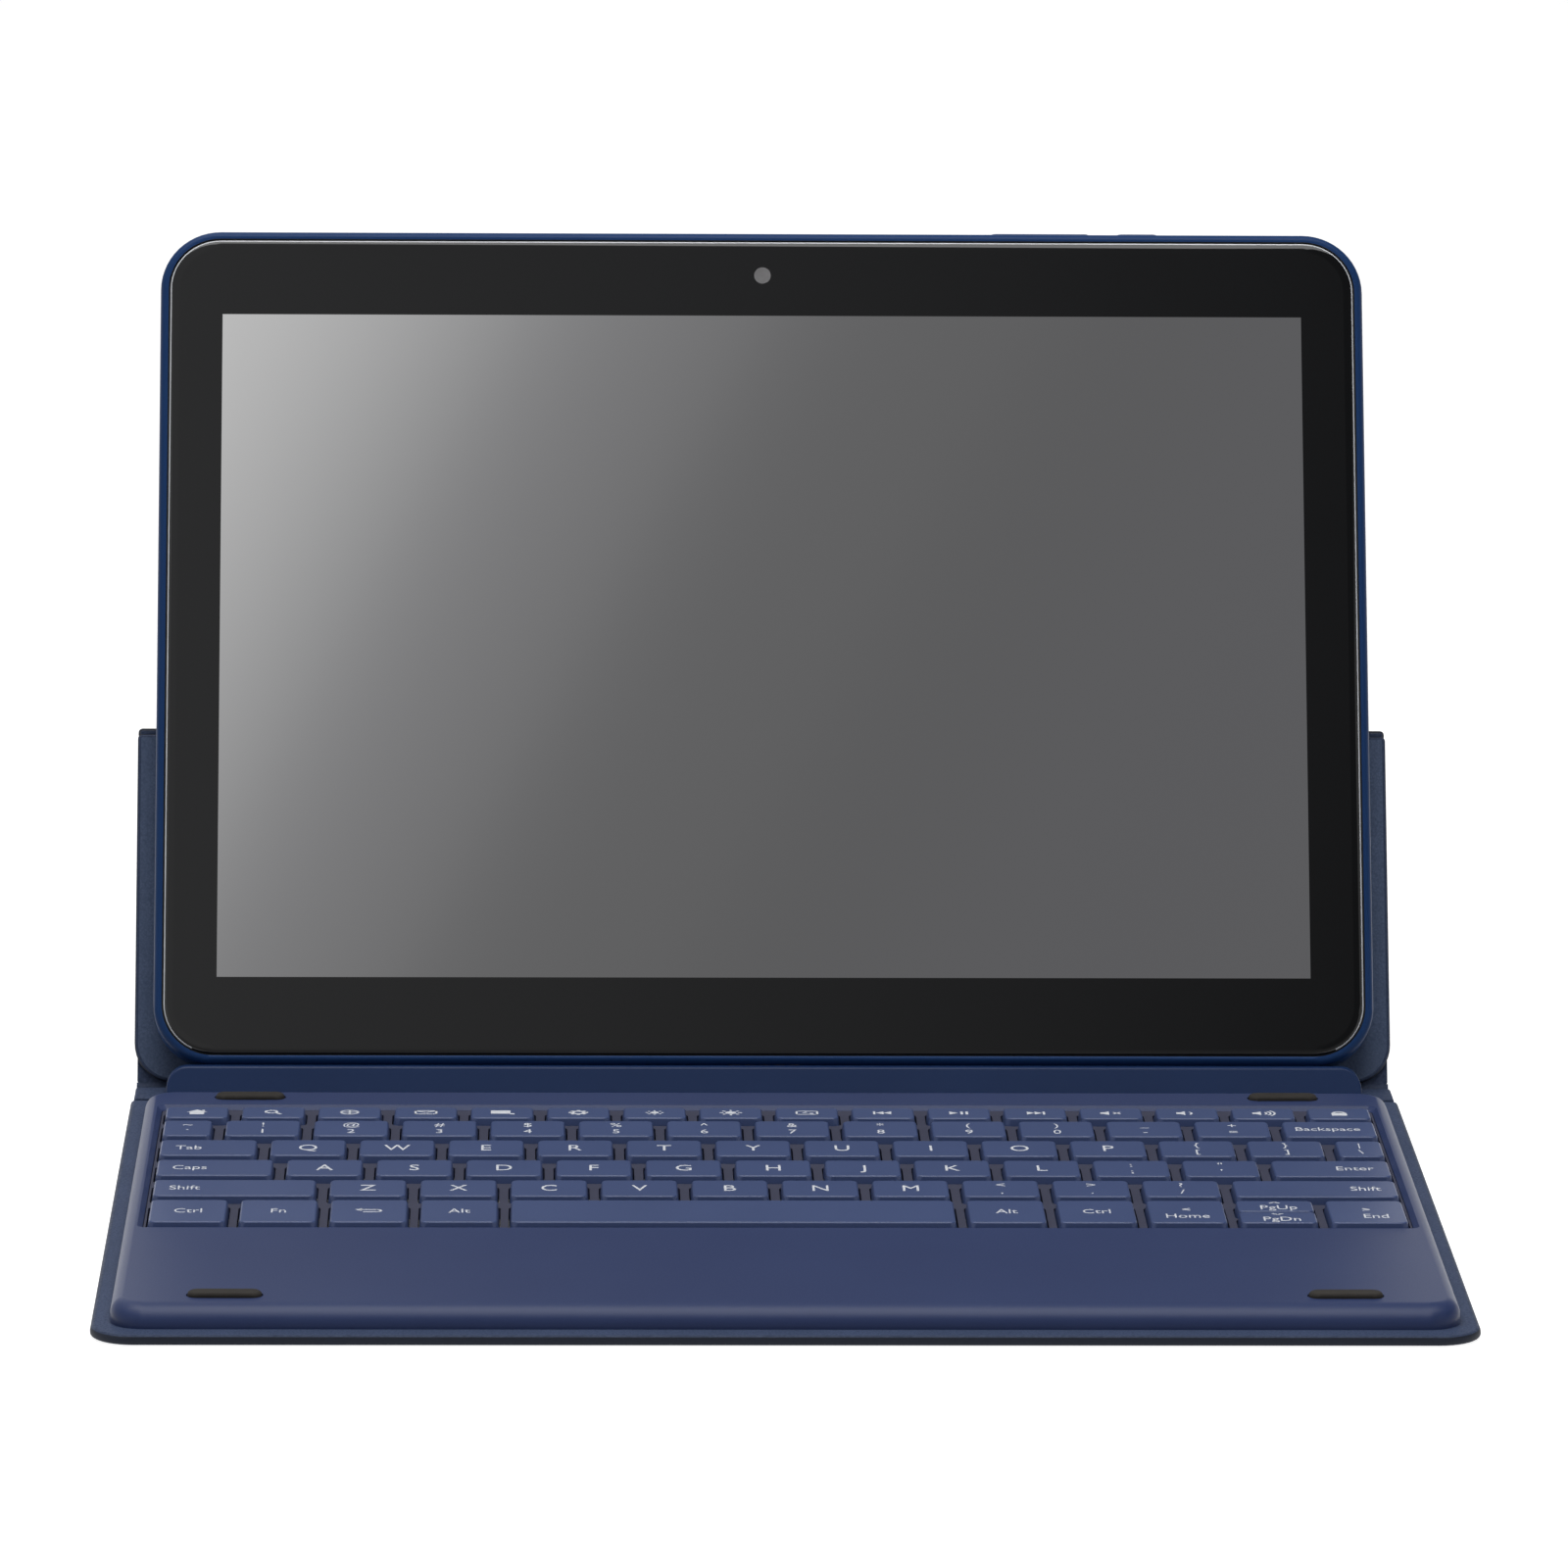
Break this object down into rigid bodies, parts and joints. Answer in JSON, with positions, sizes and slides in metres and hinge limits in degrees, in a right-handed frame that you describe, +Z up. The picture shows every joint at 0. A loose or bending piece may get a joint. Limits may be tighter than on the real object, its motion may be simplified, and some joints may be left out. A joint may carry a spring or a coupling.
{
  "type": "tablet keyboard case",
  "caption": "Folio case with a keyboard deck, dock bar and folding prop leg, holding a docked tablet upright for typing.",
  "frame": {"origin": "middle of the base cover's flat underside", "axes": "+Z up, +X to the typist's right, -Y towards the typist"},
  "size_m": [0.25, 0.3048, 0.1635],
  "materials": {
    "folio_skin": "fine-grained navy polyurethane leather",
    "folio_lining": "smooth navy microfibre",
    "fibre_board": "grey fibre board",
    "deck_plastic": "satin navy moulded plastic",
    "dock_plastic": "satin navy moulded plastic",
    "key_plastic": "satin navy moulded plastic",
    "key_frame_plastic": "matt purplish grey",
    "plate_steel": "stamped",
    "screw_steel": "blackened",
    "membrane_film": "clear printed film",
    "ribbon_film": "amber film",
    "dome_rubber": "translucent silicone",
    "bumper_rubber": "matt black rubber",
    "circuit_board": "green solder mask",
    "magnet": "nickel plated",
    "contact_block_plastic": "black",
    "contact_gold": "gold plated",
    "tablet_shell": "satin navy",
    "tablet_button": "satin navy",
    "cover_glass": "polished, black printed border",
    "camera_module": "grey lens",
    "display_panel": "switched off, grey",
    "battery_wrap": "foil pouch",
    "speaker_plastic": "black"
  },
  "bodies": {
    "base": {"base_cover_skin": "folio_skin", "base_cover_board": "fibre_board", "base_cover_lining": "folio_lining", "front_crease_skin": "folio_skin", "keyboard_top_case": "deck_plastic", "keyboard_bottom_case": "deck_plastic", "deck_screws": "screw_steel", "key_support_plate": "plate_steel", "key_membrane": "membrane_film", "key_frame": "key_frame_plastic", "rubber_domes": "dome_rubber", "rubber_bumpers": "bumper_rubber", "controller_board": "circuit_board", "closing_magnets": "magnet", "dock_ribbon": "ribbon_film"},
    "dock_spine": {"spine_strip": "folio_skin", "dock_bar_cover": "dock_plastic", "dock_bar_plate": "dock_plastic", "dock_magnets": "magnet", "contact_block": "contact_block_plastic", "spring_contacts": "contact_gold", "rear_crease_skin": "folio_skin"},
    "back_panel": {"back_panel_skin": "folio_skin", "back_panel_board": "fibre_board", "back_panel_lining": "folio_lining", "holding_magnets": "magnet", "leg_fold_skin": "folio_skin"},
    "prop_leg": {"prop_leg_skin": "folio_skin", "prop_leg_board": "fibre_board", "prop_leg_lining": "folio_lining"},
    "tablet": {"tablet_shell": "tablet_shell", "cover_glass": "cover_glass", "front_camera": "camera_module", "display_panel": "display_panel", "battery_cells": "battery_wrap", "main_board": "circuit_board", "tablet_speakers": "speaker_plastic", "contact_pads": "contact_gold"},
    "volume_rocker": {"volume_rocker": "tablet_button"},
    "power_button": {"power_button": "tablet_button"},
    "function_row_keys": {"function_row_keys": "key_plastic"},
    "number_row_keys": {"number_row_keys": "key_plastic"},
    "backspace_key": {"backspace_key": "key_plastic"},
    "tab_key": {"tab_key": "key_plastic"},
    "upper_letter_keys": {"upper_letter_keys": "key_plastic"},
    "caps_key": {"caps_key": "key_plastic"},
    "middle_letter_keys": {"middle_letter_keys": "key_plastic"},
    "enter_key": {"enter_key": "key_plastic"},
    "left_shift_key": {"left_shift_key": "key_plastic"},
    "lower_letter_keys": {"lower_letter_keys": "key_plastic"},
    "right_shift_key": {"right_shift_key": "key_plastic"},
    "bottom_left_keys": {"bottom_left_keys": "key_plastic"},
    "space_bar": {"space_bar": "key_plastic"},
    "bottom_right_keys": {"bottom_right_keys": "key_plastic"},
    "page_up_key": {"page_up_key": "key_plastic"},
    "page_down_key": {"page_down_key": "key_plastic"},
    "end_key": {"end_key": "key_plastic"}
  },
  "joints": [
    {"name": "cover_fold", "type": "hinge", "parent": "base", "child": "dock_spine", "pos_m": [0, 0.094, 0.0009], "axis": [1, 0, 0], "range_deg": [0, 90], "deforming": ["front_crease_skin", "dock_ribbon"]},
    {"name": "dock_tilt", "type": "hinge", "parent": "dock_spine", "child": "back_panel", "pos_m": [0, 0.1002, 0.0075], "axis": [1, 0, 0], "range_deg": [0, 23.5], "deforming": ["rear_crease_skin"]},
    {"name": "leg_unfold", "type": "hinge", "parent": "back_panel", "child": "prop_leg", "pos_m": [0, 0.13838, 0.06647], "axis": [1, 0, 0], "range_deg": [0, 108.36]},
    {"name": "tablet_lift", "type": "slide", "parent": "back_panel", "child": "tablet", "axis": [0, 0.3987, 0.9171], "range_m": [0, 0.06]},
    {"name": "volume_tilt", "type": "hinge", "parent": "tablet", "child": "volume_rocker", "pos_m": [0.0562, 0.17177, 0.16056], "axis": [0, 0.9171, -0.3987], "range_deg": [-1.2, 1.2], "stiffness_Nm_per_rad": 0.2},
    {"name": "power_press", "type": "slide", "parent": "tablet", "child": "power_button", "axis": [0, 0.3987, 0.9171], "range_m": [-0.0004, 0], "stiffness_N_per_m": 2000},
    {"name": "function_row_keys_press", "type": "slide", "parent": "base", "child": "function_row_keys", "axis": [0, 0, 1], "range_m": [-0.0012, 0], "stiffness_N_per_m": 8000},
    {"name": "number_row_keys_press", "type": "slide", "parent": "base", "child": "number_row_keys", "axis": [0, 0, 1], "range_m": [-0.0012, 0], "stiffness_N_per_m": 6500},
    {"name": "backspace_key_press", "type": "slide", "parent": "base", "child": "backspace_key", "axis": [0, 0, 1], "range_m": [-0.0012, 0], "stiffness_N_per_m": 500},
    {"name": "tab_key_press", "type": "slide", "parent": "base", "child": "tab_key", "axis": [0, 0, 1], "range_m": [-0.0012, 0], "stiffness_N_per_m": 500},
    {"name": "upper_letter_keys_press", "type": "slide", "parent": "base", "child": "upper_letter_keys", "axis": [0, 0, 1], "range_m": [-0.0012, 0], "stiffness_N_per_m": 6500},
    {"name": "caps_key_press", "type": "slide", "parent": "base", "child": "caps_key", "axis": [0, 0, 1], "range_m": [-0.0012, 0], "stiffness_N_per_m": 500},
    {"name": "middle_letter_keys_press", "type": "slide", "parent": "base", "child": "middle_letter_keys", "axis": [0, 0, 1], "range_m": [-0.0012, 0], "stiffness_N_per_m": 5500},
    {"name": "enter_key_press", "type": "slide", "parent": "base", "child": "enter_key", "axis": [0, 0, 1], "range_m": [-0.0012, 0], "stiffness_N_per_m": 500},
    {"name": "left_shift_key_press", "type": "slide", "parent": "base", "child": "left_shift_key", "axis": [0, 0, 1], "range_m": [-0.0012, 0], "stiffness_N_per_m": 500},
    {"name": "lower_letter_keys_press", "type": "slide", "parent": "base", "child": "lower_letter_keys", "axis": [0, 0, 1], "range_m": [-0.0012, 0], "stiffness_N_per_m": 5000},
    {"name": "right_shift_key_press", "type": "slide", "parent": "base", "child": "right_shift_key", "axis": [0, 0, 1], "range_m": [-0.0012, 0], "stiffness_N_per_m": 500},
    {"name": "bottom_left_keys_press", "type": "slide", "parent": "base", "child": "bottom_left_keys", "axis": [0, 0, 1], "range_m": [-0.0012, 0], "stiffness_N_per_m": 2000},
    {"name": "space_bar_press", "type": "slide", "parent": "base", "child": "space_bar", "axis": [0, 0, 1], "range_m": [-0.0012, 0], "stiffness_N_per_m": 500},
    {"name": "bottom_right_keys_press", "type": "slide", "parent": "base", "child": "bottom_right_keys", "axis": [0, 0, 1], "range_m": [-0.0012, 0], "stiffness_N_per_m": 1500},
    {"name": "page_up_key_press", "type": "slide", "parent": "base", "child": "page_up_key", "axis": [0, 0, 1], "range_m": [-0.0012, 0], "stiffness_N_per_m": 500},
    {"name": "page_down_key_press", "type": "slide", "parent": "base", "child": "page_down_key", "axis": [0, 0, 1], "range_m": [-0.0012, 0], "stiffness_N_per_m": 500},
    {"name": "end_key_press", "type": "slide", "parent": "base", "child": "end_key", "axis": [0, 0, 1], "range_m": [-0.0012, 0], "stiffness_N_per_m": 500}
  ]
}
